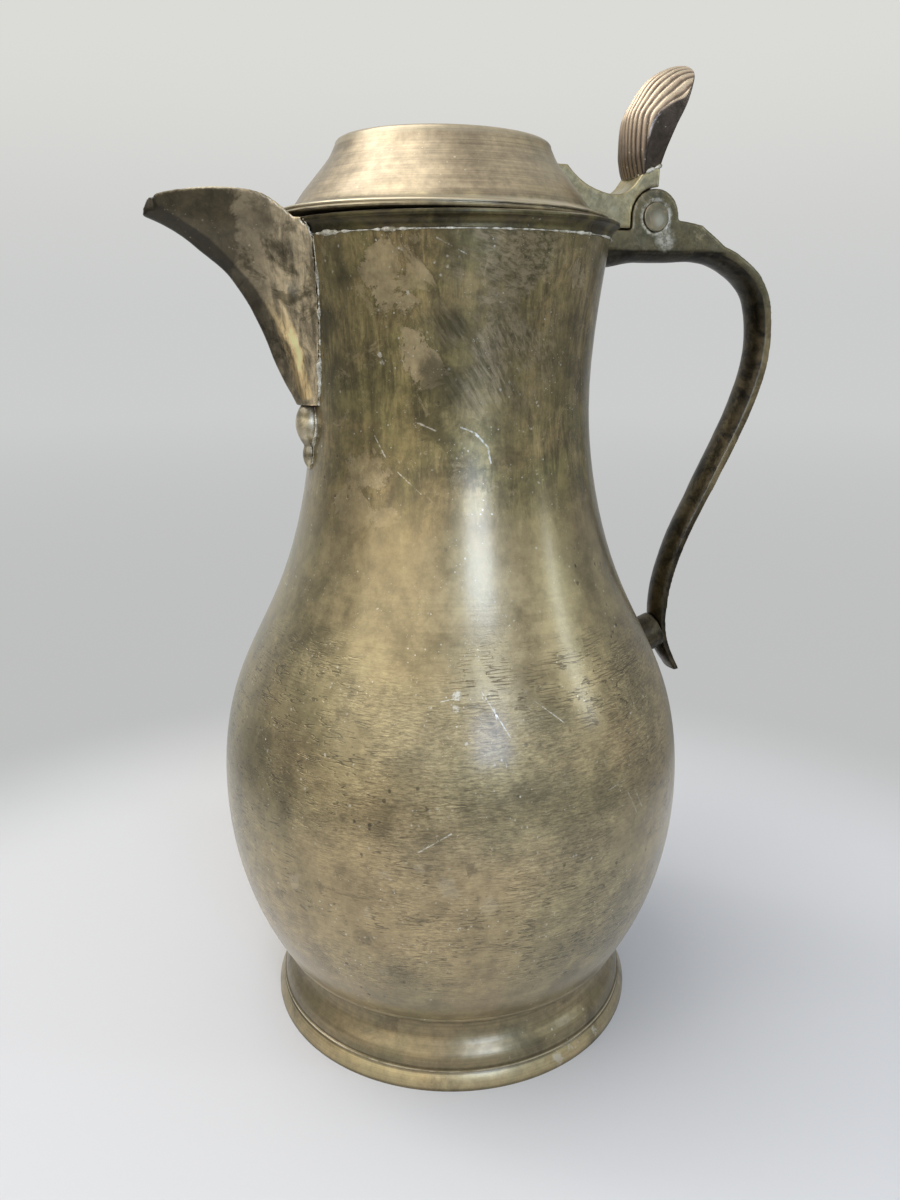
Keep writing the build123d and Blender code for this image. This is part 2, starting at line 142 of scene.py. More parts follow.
# Scrubbed places of the neck: slant in degrees, length of a stroke, middle, radius and soft edge
SCRUBS = [(-30, 0.015, (-2, -42, 222), 17, 9), (-72, 0.013, (1, -44, 243), 15, 7)]
SCRUB_WIDTH = 0.0012

# Marks, in millimetres: x, y, z and radius, or both ends and the width of a stroke
TAN_PATCHES = [
    (-30.5, -34.3, 241.5, 7.5), (-24.5, -38, 238, 5), (-25.5, -37.2, 232, 4.8), (-23.5, -37.6, 225, 4.8),
    (-22, -37.8, 217.5, 3.8), (21, -40.5, 239.5, 4), (-35, -29, 188, 7), (-37.5, -25.5, 178, 6),
    (-31, -34, 177, 4.5),
]
DARK_PATCHES = [
    (-39, -23.5, 238.5, 6), (-15, -41.3, 225.5, 4.5), (28, -36, 246, 4.5), (-17, -39.9, 212, 3.5),
    (-43.5, -14, 228, 6), (-17.5, -39.3, 199, 4.5), (-16, -41, 188, 4), (-40, -20, 215, 5),
]
SMUDGES = [
    (-67.4, -25.2, 109.2, 4), (-64.7, -35.3, 101.6, 6), (-41.9, -61.4, 97.8, 5.5), (-53.4, -22, 141.2, 4),
    (-48.1, -45.8, 124.5, 2), (-30.8, -68.2, 94.1, 4), (-37.5, -59.7, 47.3, 4.5),
    (-47.6, -55.9, 60.3, 2.5), (52, -50, 84, 5), (-2, -70.5, 106, 5), (-65.8, -34, 65, 1.6),
    (-56.7, -49, 74.3, 1.8), (-51.8, -54.7, 81, 1), (-19.9, -72.7, 85.2, 0.8), (13.4, -64.9, 124.7, 1.2),
    (-20.4, -70.8, 101.8, 3),
]
DUSTY = [
    (-42.7, -62.1, 82.5, 1.8), (2.5, -75.3, 82.6, 1.3), (-42, -56.6, 47.4, 1.8),
    (-63.1, -40.2, 72.4, 1.3), (-46.1, -58.5, 69.1, 0.9), (-9.5, -73.7, 67.2, 1.2),
    (-50.5, -41.2, 126.9, 1), (21, -69, 108.6, 1.2), (6.2, -72.6, 105.5, 1.4), (-34.8, -66.9, 85.7, 1.4),
    (-26.1, -70.6, 79.8, 1.6), (-16.2, -73.1, 72.8, 1.5),
]
CRUSTS = [(-19.9, -60, 131, 1.3), (-20.9, -61.2, 127.6, 0.9), (-27.5, -59.3, 128.5, 0.8)]
CHIPS = [
    (-30.9, -30.8, 219.2, 0.6), (-30.4, -31.2, 217, 0.7), (-29.7, -31.8, 217.6, 0.4),
    (-25, -37.6, 234.7, 0.4), (-59.7, -31.6, 121.7, 0.4), (-54.1, -24, 138.6, 0.35),
    (-69.6, -12.3, 113.5, 0.4), (-66.4, -28.1, 108.7, 0.45), (-53.5, -46.3, 113.1, 0.4),
    (-24.9, -69.2, 102.3, 0.4), (-28.3, -60.1, 36.6, 0.4),
]
SCRATCHES = [
    (-33.9, -67.1, 90.2, -25.5, -70.1, 95.8, 0.42), (-18.9, -43.2, 247.9, -11.7, -45, 244.1, 0.4),
    (-11.8, -41.4, 200.3, -8.1, -42.4, 198.6, 0.5), (-8.1, -42.4, 198.6, -4.6, -43.1, 194.8, 0.6),
    (-4.6, -43.1, 194.8, -3.9, -43.6, 190.5, 0.5), (-31.6, -29.1, 203.9, -21.9, -37.1, 201.1, 0.35),
    (-21.9, -37.1, 201.1, -18.1, -39.1, 199.3, 0.45), (-32.3, -28.8, 197.4, -30.1, -31.6, 191.7, 0.4),
    (-27.6, -34.4, 188, -22.5, -38.8, 182.4, 0.35), (-13.3, -61.4, 131.6, -7.5, -67.9, 120, 0.36),
    (-10.8, -63.7, 128.1, -9.6, -70.3, 112.6, 0.32), (0.7, -64.5, 128.4, 9, -67.1, 121.5, 0.3),
    (21.7, -70.6, 100.6, 29.1, -67.7, 101.6, 0.35), (26.6, -69.9, 94.3, 38.7, -64.2, 92.5, 0.25),
    (29.3, -68.3, 97.5, 33.2, -67.5, 89.9, 0.25), (32, -67.1, 97.7, 35.6, -66.2, 90.8, 0.25),
    (-24.5, -59.1, 129.4, -17.2, -60.9, 130.8, 0.4),
]
SPOUT_GREY = [(48.5, 8.5, 243.5, 2.6), (48.3, 9, 236.5, 2.2)]
SPOUT_CHIPS = [(69.2, 5.9, 252.3, 0.8), (72.2, 5.8, 254.5, 0.35), (73.6, 5.7, 255.2, 0.3)]
# Points along the spout's crease, where a gold highlight is painted
CREASE = [(55.2, 6.1, 234.5), (52.2, 5.7, 227.6), (49, 5.3, 219.5), (46.9, 5.2, 208)]
SMEAR = (69.8, 0, 252.0)
SCUFF = (66.8, -7.6, 257.6)
FOOT_STAINS = [(-60.8, 5.3, 3, 32), (48.7, -37.2, 3, 22)]
FOOT_SPOTS = [(14.5, -60, 3.2, 1.6), (19.5, -58.5, 4.2, 1), (31, -53.2, 3.6, 0.8)]

# Lamps: turn from the camera and rise in degrees, distance, width, height, power and colour
LAMPS = [
    ("key", 20, 17, 0.95, 0.28, 0.3, 2.9, (0.52, 0.67, 1.0)),
    ("glow", -34, 17, 1.2, 1.15, 0.5, 2.7, (1.0, 0.92, 0.8)),
    ("overhead", -78, 62, 1.3, 1.2, 1.2, 10.5, (1.0, 0.99, 0.97)),
    ("left_window", -106, 56, 1.1, 0.16, 0.5, 0.9, (1.0, 0.98, 0.94)),
    ("right_strip", 74, 19, 1.0, 0.1, 0.34, 0.9, (0.8, 0.93, 1.0)),
]
LAMP_AIM = 0.14

# Floor's size, the shift and reach of its glow, and the cosines that bound the room's dark side
FLOOR_RADIUS = 6.0
FLOOR_SHIFT = 0.08
FLOOR_GLOW = (0.3, 2.5)
FLOOR_EDGE = (0.23, 0.37)
DARK_ACROSS = (-0.88, -0.6)
DARK_UPRIGHT = (0.6, 0.2)


def length(name, description, value):
    """Length property in metres."""
    return bpy.props.FloatProperty(
        name=name, description=description, default=value, subtype="DISTANCE", unit="LENGTH"
    )


def angle(name, description, value):
    """Angle property, with its default in degrees."""
    return bpy.props.FloatProperty(
        name=name, description=description, default=radians(value), subtype="ANGLE", unit="ROTATION"
    )


def tone(name, description, value):
    """Colour property with a name and a default."""
    return bpy.props.FloatVectorProperty(
        name=name, description=description, default=value, subtype="COLOR", size=3, min=0, max=1
    )


class PitcherSizes(bpy.types.PropertyGroup):
    """Sizes of what is added to the construction."""

    turn_steps: bpy.props.IntProperty(
        name="Turning steps", description="Faces round each turned piece", default=256, min=32
    )
    ribs: bpy.props.IntProperty(
        name="Ribs", description="Ribs on the thumbpiece", default=13, min=5
    )
    rib_depth: length("Rib depth", "Height of a rib over its grooves", 0.0006)
    solder: length("Solder line", "Radius of the solder lines", 0.0004)
    grain: length("Casting grain", "Mesh size of the cast pieces", 0.00045)
    lump_width: length("Lump width", "Size of the cast pieces' soft lumps", 0.007)
    lump_height: length("Lump height", "Height of the cast pieces' soft lumps", 0.00012)


class PitcherColours(bpy.types.PropertyGroup):
    """Colours of the metal's finishes."""

    brown: tone("Brown", "Brown patina of the vessel", (0.37, 0.285, 0.15))
    olive: tone("Olive", "Olive patina of the vessel", (0.305, 0.254, 0.135))
    tan: tone("Tan", "Patches where the patina has gone", (0.46, 0.37, 0.23))
    # Also the colour, darkened, of the painted shade on the cast pieces' inner faces
    soot_and_shade: tone("Soot", "Dark lines, pits and grooves", (0.045, 0.036, 0.022))
    lid: tone("Lid", "Turned metal of the lid", (0.33, 0.265, 0.175))
    spout: tone("Spout", "Dark patina of the spout", (0.1, 0.08, 0.045))
    # Gold of the painted highlight along the spout's crease
    crease_highlight: tone("Gold", "Rubbed metal along the spout's crease", (0.66, 0.49, 0.25))
    cast: tone("Casting", "Greenish grey of the handle and hinge", (0.17, 0.155, 0.1))
    shell: tone("Thumbpiece", "Pinkish brown of the ribs", (0.38, 0.29, 0.21))
    neck_brown: tone("Neck brown", "Brown of the streaked neck", (0.268, 0.2, 0.09))
    neck_olive: tone("Neck olive", "Olive of the streaked neck", (0.2, 0.167, 0.068))
    neck_tan: tone("Neck tan", "Peeled patches of the neck", (0.44, 0.35, 0.195))
    chalk: tone("Chalk", "Pale crust and solder", (0.66, 0.63, 0.52))
    worn: tone("Worn", "Bright worn metal", (0.64, 0.56, 0.4))


class PitcherStage(bpy.types.PropertyGroup):
    """Floor, background, lights and camera."""

    floor: tone("Floor", "Colour of the floor", (0.7, 0.695, 0.69))
    backdrop: tone("Backdrop", "Colour of the background at its foot", (0.6, 0.61, 0.605))
    sky: tone("Upper backdrop", "Colour of the background at the top", (0.71, 0.71, 0.68))
    room_tint: tone("Room tint", "Colour of the light that the room gives", (0.95, 0.97, 1.0))
    room: bpy.props.FloatProperty(
        name="Room", description="Strength of the light that the room gives", default=0.55, min=0
    )
    azimuth: angle("Camera azimuth", "Angle of the view about the vessel's axis", -20)
    distance: length("Camera distance", "Level distance from the vessel's axis", 0.3055)
    height: length("Camera height", "Height of the camera over the floor", 0.22775)
    pitch: angle("Camera pitch", "Angle at which the camera looks down", 16.12)
    roll: angle("Camera roll", "Turn of the picture", -0.22)
    lens: bpy.props.FloatProperty(
        name="Lens", description="Focal length in millimetres on a 36 mm sensor", default=28.98
    )
    far_turn: angle("Turn of the dark side", "Middle of the room's dark side, from the camera", 23)
    far_side: bpy.props.FloatProperty(
        name="Room behind the camera", description="Brightness there, of what the metal reflects",
        default=0.5, min=0, max=1, subtype="FACTOR",
    )


def set_up(thing, **values):
    """Sets several values of a thing."""
    for name, value in values.items():
        setattr(thing, name, value)
    return thing


class Field:
    """A value that nodes work out at each point, with plain arithmetic on it."""

    def __init__(self, tree, socket):
        self.tree = tree
        self.socket = socket

    def joined(self, operation, *others):
        """One step of arithmetic with other values."""
        inputs = dict(enumerate([self, *others]))
        return self.tree.make("ShaderNodeMath", inputs, operation=operation)

    def __add__(self, other):
        return self.joined("ADD", other)

    def __sub__(self, other):
        return self.joined("SUBTRACT", other)

    def __mul__(self, other):
        return self.joined("MULTIPLY", other)

    def __abs__(self):
        return self.joined("ABSOLUTE")

    def step(self, low, high, start=0.0, end=1.0):
        """Smooth step from start at low to end at high."""
        inputs = {"Value": self, 1: low, 2: high, 3: start, 4: end}
        return self.tree.make("ShaderNodeMapRange", inputs, interpolation_type="SMOOTHSTEP")

    def between(self, low, high, before, after):
        """One from low to high, fading to nothing this far before and after."""
        return self.step(low - before, low) * self.step(high + after, high)


class Nodes:
    """Adds and links the nodes of a material or of the world."""

    def __init__(self, owner):
        owner.use_nodes = True
        self.nodes = owner.node_tree.nodes
        self.links = owner.node_tree.links

    def feed(self, socket, value):
        """Links a field to an input, or sets the input to a plain value."""
        if isinstance(value, Field):
            self.links.new(value.socket, socket)
        else:
            socket.default_value = value

    def node(self, kind, inputs, **settings):
        """Adds a node with its inputs and settings."""
        made = set_up(self.nodes.new(kind), **settings)
        for key, value in inputs.items():
            self.feed(made.inputs[key], value)
        return made

    def make(self, kind, inputs, output=0, **settings):
        """One output of a new node, as a field."""
        return Field(self, self.node(kind, inputs, **settings).outputs[output])

    def parts(self, vector):
        """The x, y and z of a vector."""
        outputs = self.node("ShaderNodeSeparateXYZ", {0: vector}).outputs
        return [Field(self, output) for output in outputs]

    def most(self, first, *others):
        """Largest of several fields."""
        for other in others:
            first = first.joined("MAXIMUM", other)
        return first

    def vector(self, operation, first, second, output=0):
        """Vector arithmetic on two vectors, or on a vector and a scale."""
        key = "Scale" if operation == "SCALE" else 1
        return self.make("ShaderNodeVectorMath", {0: first, key: second}, output, operation=operation)

    def surface(self, output, share, shader, other):
        """Feeds the output node with a node's shader and another, in a share."""
        inputs = {0: share, 1: Field(self, shader.outputs[0]), 2: other}
        self.feed(self.nodes[output].inputs["Surface"], self.make("ShaderNodeMixShader", inputs))

    def colour_of(self, value):
        """A colour as it is, or the colour property of that name."""
        return getattr(bpy.context.scene.pitcher_colours, value) if isinstance(value, str) else value

    def shade(self, colour, level):
        """The colour made darker or lighter by a factor."""
        return self.vector("SCALE", self.colour_of(colour), level)

    def blend(self, share, low, high):
        """Colour between low and high."""
        inputs = {0: share}
        for key, value in ((6, self.colour_of(low)), (7, self.colour_of(high))):
            inputs[key] = value if isinstance(value, Field) else (*value, 1)
        return self.make("ShaderNodeMix", inputs, 2, data_type="RGBA")


class Finish(Nodes):
    """One finish of the metal, laid in coats, by nodes that read the piece's own coordinates."""

    def __init__(self, name, metallic=0.88, coat=0.35, coat_roughness=0.25):
        self.material = bpy.data.materials.new(name)
        super().__init__(self.material)
        self.shader = self.nodes["Principled BSDF"].inputs
        self.feed(self.shader["Metallic"], metallic)
        self.feed(self.shader["Coat Weight"], coat)
        self.feed(self.shader["Coat Roughness"], coat_roughness)
        self.spot = self.make("ShaderNodeTexCoord", {}, "Object")
        self.x, self.y, self.z = self.parts(self.spot)
        facing = self.make("ShaderNodeTexCoord", {}, "Normal")
        self.facing_x, self.facing_y, self.facing_z = self.parts(facing)
        self.colour = None

    def base(self, low, high, pattern, start, end):
        """First coat: one colour where the pattern is low and another where it is high."""
        self.colour = self.blend(pattern.step(start, end), low, high)

    def cover(self, colour, share, *shares):
        """Lays a colour over the ones below, in the share that all the shares multiply to."""
        for other in shares:
            share = share * other
        self.colour = self.blend(share, self.colour, colour)

    def vary(self, pattern, low, high, start, end, share=None):
        """Shades the colour by a factor that goes from start to end, in full or in a share."""
        varied = self.shade(self.colour, pattern.step(low, high, start, end))
        self.colour = self.blend(share, self.colour, varied) if share else varied

    def done(self, roughness, *reliefs):
        """Feeds the shader, with reliefs given as a pattern and its depth in metres."""
        self.feed(self.shader["Base Color"], self.colour)
        self.feed(self.shader["Roughness"], roughness)
        below = {}
        for height, depth in reliefs:
            inputs = {"Height": height, "Distance": depth, "Strength": 1.0, **below}
            below["Normal"] = self.make("ShaderNodeBump", inputs)
        self.feed(self.shader["Normal"], below["Normal"])
        return self.material

    def stretched(self, level, upright, bend=0.0, bend_scale=0.5):
        """Coordinates with so many cells to the metre, pushed about by noise where they bend."""
        at = self.make("ShaderNodeMapping", {"Vector": self.spot, "Scale": (level, level, upright)})
        if not bend:
            return at
        shift = self.make("ShaderNodeTexNoise", {"Vector": at, "Scale": bend_scale, "Detail": 3}, "Color")
        centred = self.vector("SUBTRACT", shift, (0.5, 0.5, 0.5))
        return self.vector("ADD", at, self.vector("SCALE", centred, bend))

    def slanted(self, width, length, slant):
        """Coordinates of strokes this wide and long, leaning in the plane that faces the camera."""
        inputs = {
            "Vector": self.spot, "Scale": (width, width, length),
            "Rotation": (0, slant, bpy.context.scene.pitcher_stage.azimuth),
        }
        return self.make("ShaderNodeMapping", inputs, vector_type="TEXTURE")

    def noise(self, scale, detail=4, roughness=0.55, warp=0.0, at=None):
        """Cloudy pattern from 0 to 1."""
        inputs = {
            "Vector": at or self.spot, "Scale": scale, "Detail": detail,
            "Roughness": roughness, "Distortion": warp,
        }
        return self.make("ShaderNodeTexNoise", inputs)

    def wobble(self, amount, *pattern):
        """Cloudy pattern about zero, half the amount up and down."""
        return (self.noise(*pattern) - 0.5) * amount

    def cells(self, scale, feature="DISTANCE_TO_EDGE", at=None):
        """Distance to the nearest cell edge or cell centre."""
        inputs = {"Vector": at or self.spot, "Scale": scale}
        return self.make("ShaderNodeTexVoronoi", inputs, "Distance", feature=feature)

    def specks(self, scale, share):
        """Scattered ragged dots, gathered where a cloudy pattern is strong."""
        dot = (self.cells(scale, "F1") + self.wobble(0.5, scale * 3.3, 4, 0.7)).step(0.05, 0.16, 1.0, 0.0)
        return dot * self.noise(scale / 6, 2).step(0.53, 0.63) * share

    def distance(self, inputs, centre):
        """Distance from a point in millimetres, counted along the given axes only."""
        flat = self.make("ShaderNodeCombineXYZ", inputs)
        return self.vector("DISTANCE", flat, Vector(centre) * MM, "Value")

    def blot(self, centre, radius, edge, ragged=0.0):
        """Stain round a point, in millimetres, with an edge pushed about by a pattern."""
        away = self.vector("DISTANCE", self.spot, Vector(centre) * MM, "Value") + ragged
        return away.step((radius + edge) * MM, (radius - edge) * MM)

    def blots(self, marks, edge, ragged=0.0, extra=0.0, share=1.0):
        """Stains at a list of marks, with edges no wider than a share of the mark's radius."""
        return self.most(*[
            self.blot(place, radius + extra, min(edge, radius * share), ragged)
            for *place, radius in marks
        ])

    def stroke(self, start, end, width, ragged=0.0):
        """Thin mark from one point to another, in millimetres, with an edge pushed about."""
        begin, way = Vector(start) * MM, (Vector(end) - Vector(start)) * MM
        offset = self.vector("SUBTRACT", self.spot, begin)
        share = self.vector("DOT_PRODUCT", offset, way / way.length_squared, "Value")
        kept = self.make("ShaderNodeClamp", {0: share})
        away = self.vector("DISTANCE", offset, self.vector("SCALE", way, kept), "Value") + ragged
        return away.step(width * 0.6 * MM, width * 0.25 * MM)


def paint_neck(metal):
    """Neck: yellow brown, streaked and scrubbed, with peeled tan patches and dark stains."""
    below = metal.colour
    metal.base("neck_brown", "neck_olive", metal.noise(28, 7, 0.68, 0.9), 0.38, 0.62)
    clouded = metal.noise(120, 10, 0.78)
    metal.vary(clouded, 0.32, 0.68, 0.55, 1.45)
    streaks = metal.noise(1, 8, 0.78, 0.4, metal.stretched(330, 42, 1.6))
    streaky = metal.noise(42, 5, 0.62).step(0.42, 0.6, 0.35, 1.0)
    metal.vary(streaks, 0.34, 0.66, 0.5, 1.45, streaky)
    for slant, length, *place in SCRUBS:
        scrub = metal.noise(1, 8, 0.74, 0.3, metal.slanted(SCRUB_WIDTH, length, radians(slant)))
        dark, pale = metal.shade("neck_olive", 0.3), metal.shade("tan", 0.95)
        scattered = metal.noise(70, 5, 0.66).step(0.4, 0.54)
        metal.cover(metal.blend(scrub.step(0.36, 0.64), dark, pale), scattered, metal.blot(*place), 0.62)
    ragged = metal.wobble(0.034, 48, 9, 0.7, 1.2)
    uneven = metal.noise(60, 6, 0.66, 0.5).step(0.36, 0.58)
    metal.vary(metal.blots(TAN_PATCHES, 0.6, ragged, extra=0.7) * uneven, 0, 1, 1.0, 0.55)
    bare = metal.shade("neck_tan", clouded.step(0.3, 0.7, 0.6, 1.3))
    metal.cover(bare, metal.blots(TAN_PATCHES, 0.6, ragged), uneven.step(0, 1, 0.5, 0.88))
    metal.cover(metal.shade("neck_olive", 0.28), metal.blots(DARK_PATCHES, 2.4, ragged), 0.55)
    metal.cover(bare, metal.noise(95, 10, 0.76, 0.8).step(0.575, 0.6), 0.45)
    metal.colour = metal.blend(metal.z.step(*NECK_START), below, metal.colour)


def body_finish():
    """Vessel: olive brown patina, patches on the neck, and a fine rippled crazing on the belly."""
    metal = Finish("vessel_patina", 0.78, 0.6, 0.2)
    metal.base("brown", "olive", metal.noise(15, 4, 0.5, 0.5), 0.36, 0.64)
    mottle = metal.noise(85, 10, 0.76)
    metal.vary(mottle, 0.32, 0.68, 0.68, 1.3)
    paint_neck(metal)
    on_belly = metal.z.between(*BELLY)
    metal.vary((metal.z + metal.noise(30, 4) * 0.006).between(*BELLY_BAND), 0, 1, 1.0, 0.9)
    ripple = metal.noise(1, 7, 0.74, 0.3, metal.stretched(460, 2200, 1.0, 0.6))
    rippled = on_belly * metal.noise(19, 3).step(0.36, 0.58)
    metal.vary(ripple, 0.36, 0.64, 0.7, 1.34, rippled)
    crack = metal.cells(1, at=metal.stretched(95, 1150, 0.8, 0.8)).step(0.01, 0.07, 1.0, 0.0)
    parted = metal.noise(210, 3, 0.6).step(0.44, 0.54)
    cracks = crack * on_belly * parted * metal.noise(24, 4, 0.6).step(0.38, 0.56)
    metal.cover("soot_and_shade", cracks, 0.62)
    spread = metal.wobble(0.02, 110, 9, 0.74, 0.5)
    smudges = metal.blots(SMUDGES, 3.0, spread, share=0.6)
    metal.cover(metal.shade("brown", 0.2), smudges, 0.4)
    metal.cover("worn", metal.blots(DUSTY, 3.0, spread, share=0.7), 0.2)
    torn = metal.wobble(0.0026, 800, 5, 0.7)
    pit = (metal.cells(240, "F1") + torn * 90).step(0.08, 0.18, 1.0, 0.0)
    pits = pit * (metal.noise(34, 2) + smudges * 0.1).step(0.55, 0.67)
    metal.cover("soot_and_shade", pits, 0.65)
    frayed = torn * 0.25
    scratches = [metal.stroke(ends[:3], ends[3:], width, frayed) for *ends, width in SCRATCHES]
    pale = metal.most(metal.blots(CHIPS, 0.12, torn), metal.blots(CRUSTS, 0.3, torn), *scratches)
    broken = metal.noise(950, 4, 0.7).step(0.4, 0.56, 0.15, 1.0)
    specks = [metal.specks(330, 0.7), metal.specks(540, 0.9), metal.specks(1000, 0.8)]
    metal.cover("chalk", metal.most(pale * broken * 0.8, *specks))
    turning = metal.noise(1, 3, 0.6, 0, metal.stretched(9, 1500))
    turned_part = metal.z.step(*SHOULDER_END)
    metal.vary(turning, 0.3, 0.7, 0.95, 1.05, turned_part)
    inside = (metal.x * metal.facing_x + metal.y * metal.facing_y).step(0.004, -0.004)
    metal.vary(inside, 0, 1, 1.0, 0.5)
    hollow = cracks + pits + rippled * ripple
    return metal.done(
        mottle.step(0.3, 0.7, 0.3, 0.43) + inside * 0.15,
        (metal.noise(24, 2), 0.0005), (metal.noise(160, 7, 0.7), 0.00009),
        (turning * turned_part, 0.00003), (hollow.step(0, 1, 1, 0), 0.00016),
    )


def foot_finish():
    """Foot: warm olive turned metal, dark in its corners and bright on its raised line, with a painted
    reflection lightening its cone and a painted contact shadow at its lower edge.
    """
    metal = Finish("foot_patina", 0.75, 0.45)
    mottle = metal.noise(60, 8, 0.68, 0.4)
    metal.base("brown", "olive", mottle, 0.35, 0.65)
    turning = metal.noise(1, 4, 0.6, 0, metal.stretched(14, 1700))
    metal.vary(turning, 0.3, 0.7, 0.88, 1.1)
    fine = metal.noise(300, 7, 0.72)
    metal.vary(fine, 0.3, 0.7, 0.82, 1.16)
    metal.vary(metal.noise(45, 8, 0.7, 0.6), 0.54, 0.66, 1.0, 0.62)
    # Painted reflection: the cone below the raised line lighter, the foot above it darker
    metal.vary(metal.z, *FOOT_CONE_SHEEN, 1.3, 0.72)
    # Painted contact shadow along the foot's lower edge
    metal.vary(metal.z, *FOOT_CONTACT_SHADOW, 0.45, 1.0)
    metal.cover("spout", metal.blots(FOOT_STAINS, 16), 0.32)
    for low, high in FOOT_CORNERS:
        metal.vary(metal.z.between(low, high, 0.0004, 0.0004), 0, 1, 1.0, 0.68)
    rubbed = metal.noise(70, 5, 0.66).step(0.38, 0.54)
    metal.cover("worn", metal.z.between(*FOOT_RIDGE), rubbed, 0.8)
    spots = metal.blots(FOOT_SPOTS, 0.7, metal.wobble(0.009, 420, 6, 0.72))
    metal.cover("chalk", metal.most(spots * 0.6, metal.specks(300, 0.5)))
    roughness = mottle.step(0.3, 0.7, 0.32, 0.44)
    return metal.done(roughness, (metal.noise(40, 3), 0.0006), (fine, 0.00006), (turning, 0.00004))


def inside_finish():
    """Floor of the vessel: dull dark metal."""
    metal = Finish("dull_inside")
    mottle = metal.noise(55, 7, 0.65, 0.3)
    metal.base("spout", "olive", mottle, 0.35, 0.65)
    return metal.done(mottle.step(0.3, 0.7, 0.5, 0.65), (mottle, 0.0002))


def lid_finish():
    """Lid: warm matt metal with fine level brushing, painted shade at its edge on the spout's side, olive
    on its brim, pale specks.
    """
    metal = Finish("lid_turned")
    metal.colour = metal.shade("lid", metal.noise(30, 6, 0.62, 0.5).step(0.32, 0.68, 0.86, 1.36))
    right = (metal.x + metal.noise(40, 5, 0.66) * 0.03).step(0.014, 0.04)
    metal.cover(metal.shade("neck_olive", 1.15), right, 0.55)
    # Painted shade: darker at the edge towards -x, the spout's side
    metal.vary(metal.x, -0.045, -0.022, 0.78, 1.0)
    greenish = metal.blend(metal.noise(90, 6, 0.65).step(0.4, 0.6), "olive", "spout")
    metal.cover(greenish, metal.z.step(*BRIM_END), 0.7)
    lines = metal.noise(1, 5, 0.7, 0, metal.stretched(20, 2100))
    metal.vary(lines, 0.3, 0.7, 0.78, 1.18)
    dust = metal.noise(260, 8, 0.74)
    metal.vary(dust, 0.3, 0.7, 0.76, 1.22)
    lip = (metal.z + metal.noise(160, 3) * 0.0008).step(0.2564, 0.2568)
    rubbed = lip * metal.z.step(0.2586, 0.2574) * 0.7
    edge = metal.distance({"X": metal.x, "Y": metal.y}, (LID_OFFSET, 0, 0))
    crown = (edge + metal.wobble(0.0012, 150, 5, 0.7)).between(*CROWN_EDGE)
    peppered = metal.specks(700, 1.0) * metal.x.step(-0.012, -0.024)
    crown_edge = crown * metal.z.step(0.2745, 0.2755) * 0.36
    metal.cover("worn", metal.most(rubbed, crown_edge, peppered, metal.specks(400, 0.8)))
    roughness = lines.step(0.3, 0.7, 0.36, 0.46)
    return metal.done(roughness, (metal.noise(35, 2), 0.0005), (dust, 0.00005), (lines, 0.00003))


def collar_finish():
    """Rim collar: olive brown cove with dark stains, painted shade towards the spout's side, and a pale
    worn lip.
    """
    metal = Finish("collar_patina", 0.84, 0.15)
    mottle = metal.noise(110, 8, 0.7, 0.5)
    metal.base("spout", "neck_olive", mottle, 0.36, 0.62)
    metal.vary(metal.noise(48, 6, 0.68, 0.6), 0.46, 0.6, 0.84, 0.38)
    # Painted shade: darker towards -x, the spout's side
    metal.vary(metal.x, -0.034, 0.0, 0.66, 1.04)
    edge = metal.z + metal.noise(150, 4) * 0.0006
    metal.cover("worn", edge.step(0.25455, 0.2549, 0, 0.6))
    metal.cover("chalk", metal.specks(400, 0.6))
    return metal.done(mottle.step(0.3, 0.7, 0.34, 0.48), (mottle, 0.0002))


def spout_finish():
    """Spout: dark stains over the beak, tan behind them, a painted gold highlight along the crease,
    painted shade along the keel, streaks at the root.
    """
    metal = Finish("spout_patina", 0.8, 0.4)
    metal.spot = metal.make("ShaderNodeVectorMath", {0: metal.spot}, operation="ABSOLUTE")
    stain = metal.noise(60, 8, 0.66, 0.7)
    bare = stain + metal.x.step(-0.071, -0.06, -0.2, 0.12)
    metal.base("spout", metal.shade("tan", 0.56), bare, 0.48, 0.56)
    mottle = metal.noise(190, 9, 0.72, 0.4)
    metal.vary(mottle, 0.3, 0.7, 0.66, 1.34)
    streaks = metal.noise(1, 6, 0.7, 0.3, metal.stretched(380, 34, 1.2))
    metal.vary(streaks, 0.34, 0.66, 0.95, 3.0, metal.x.step(*SPOUT_BACK))
    metal.cover("spout", metal.noise(85, 8, 0.7, 0.5).step(0.52, 0.64), 0.6)
    ragged = metal.wobble(0.009, 240, 7, 0.72)
    metal.cover("chalk", metal.blots(SPOUT_GREY, 1.6, ragged), 0.25)
    # Painted highlight: a streaked gold strip along the crease, fading out towards the top
    crease_strip = metal.most(*[metal.stroke(*ends, 7.0) for ends in zip(CREASE, CREASE[1:])])
    crease = (crease_strip + (streaks - 0.5) * 3.5).step(0.35, 0.95)
    crease_highlight = metal.shade("crease_highlight", streaks.step(0.36, 0.64, 0.8, 2.1))
    metal.cover(crease_highlight, crease, crease_strip, metal.z.step(*CREASE_HIGHLIGHT_END))
    # Painted shade along the keel, where the beak's underside turns away from the light
    shaded_keel = (abs(metal.y) + stain * 0.002).step(0.0058, 0.0046)
    metal.vary(shaded_keel, 0, 1, 1.0, 0.34)
    worn_edge = (metal.z + metal.noise(260, 5, 0.66) * 0.0014).step(0.2617, 0.2624, 0, 0.7)
    chips = metal.blots(SPOUT_CHIPS, 0.15, ragged * 0.4)
    metal.cover("worn", metal.most(worn_edge, chips, metal.specks(420, 0.7), metal.specks(900, 0.5)))
    roughness = mottle.step(0.3, 0.7, 0.32, 0.46)
    return metal.done(roughness, (metal.noise(45, 2), 0.0006), (mottle, 0.00014))


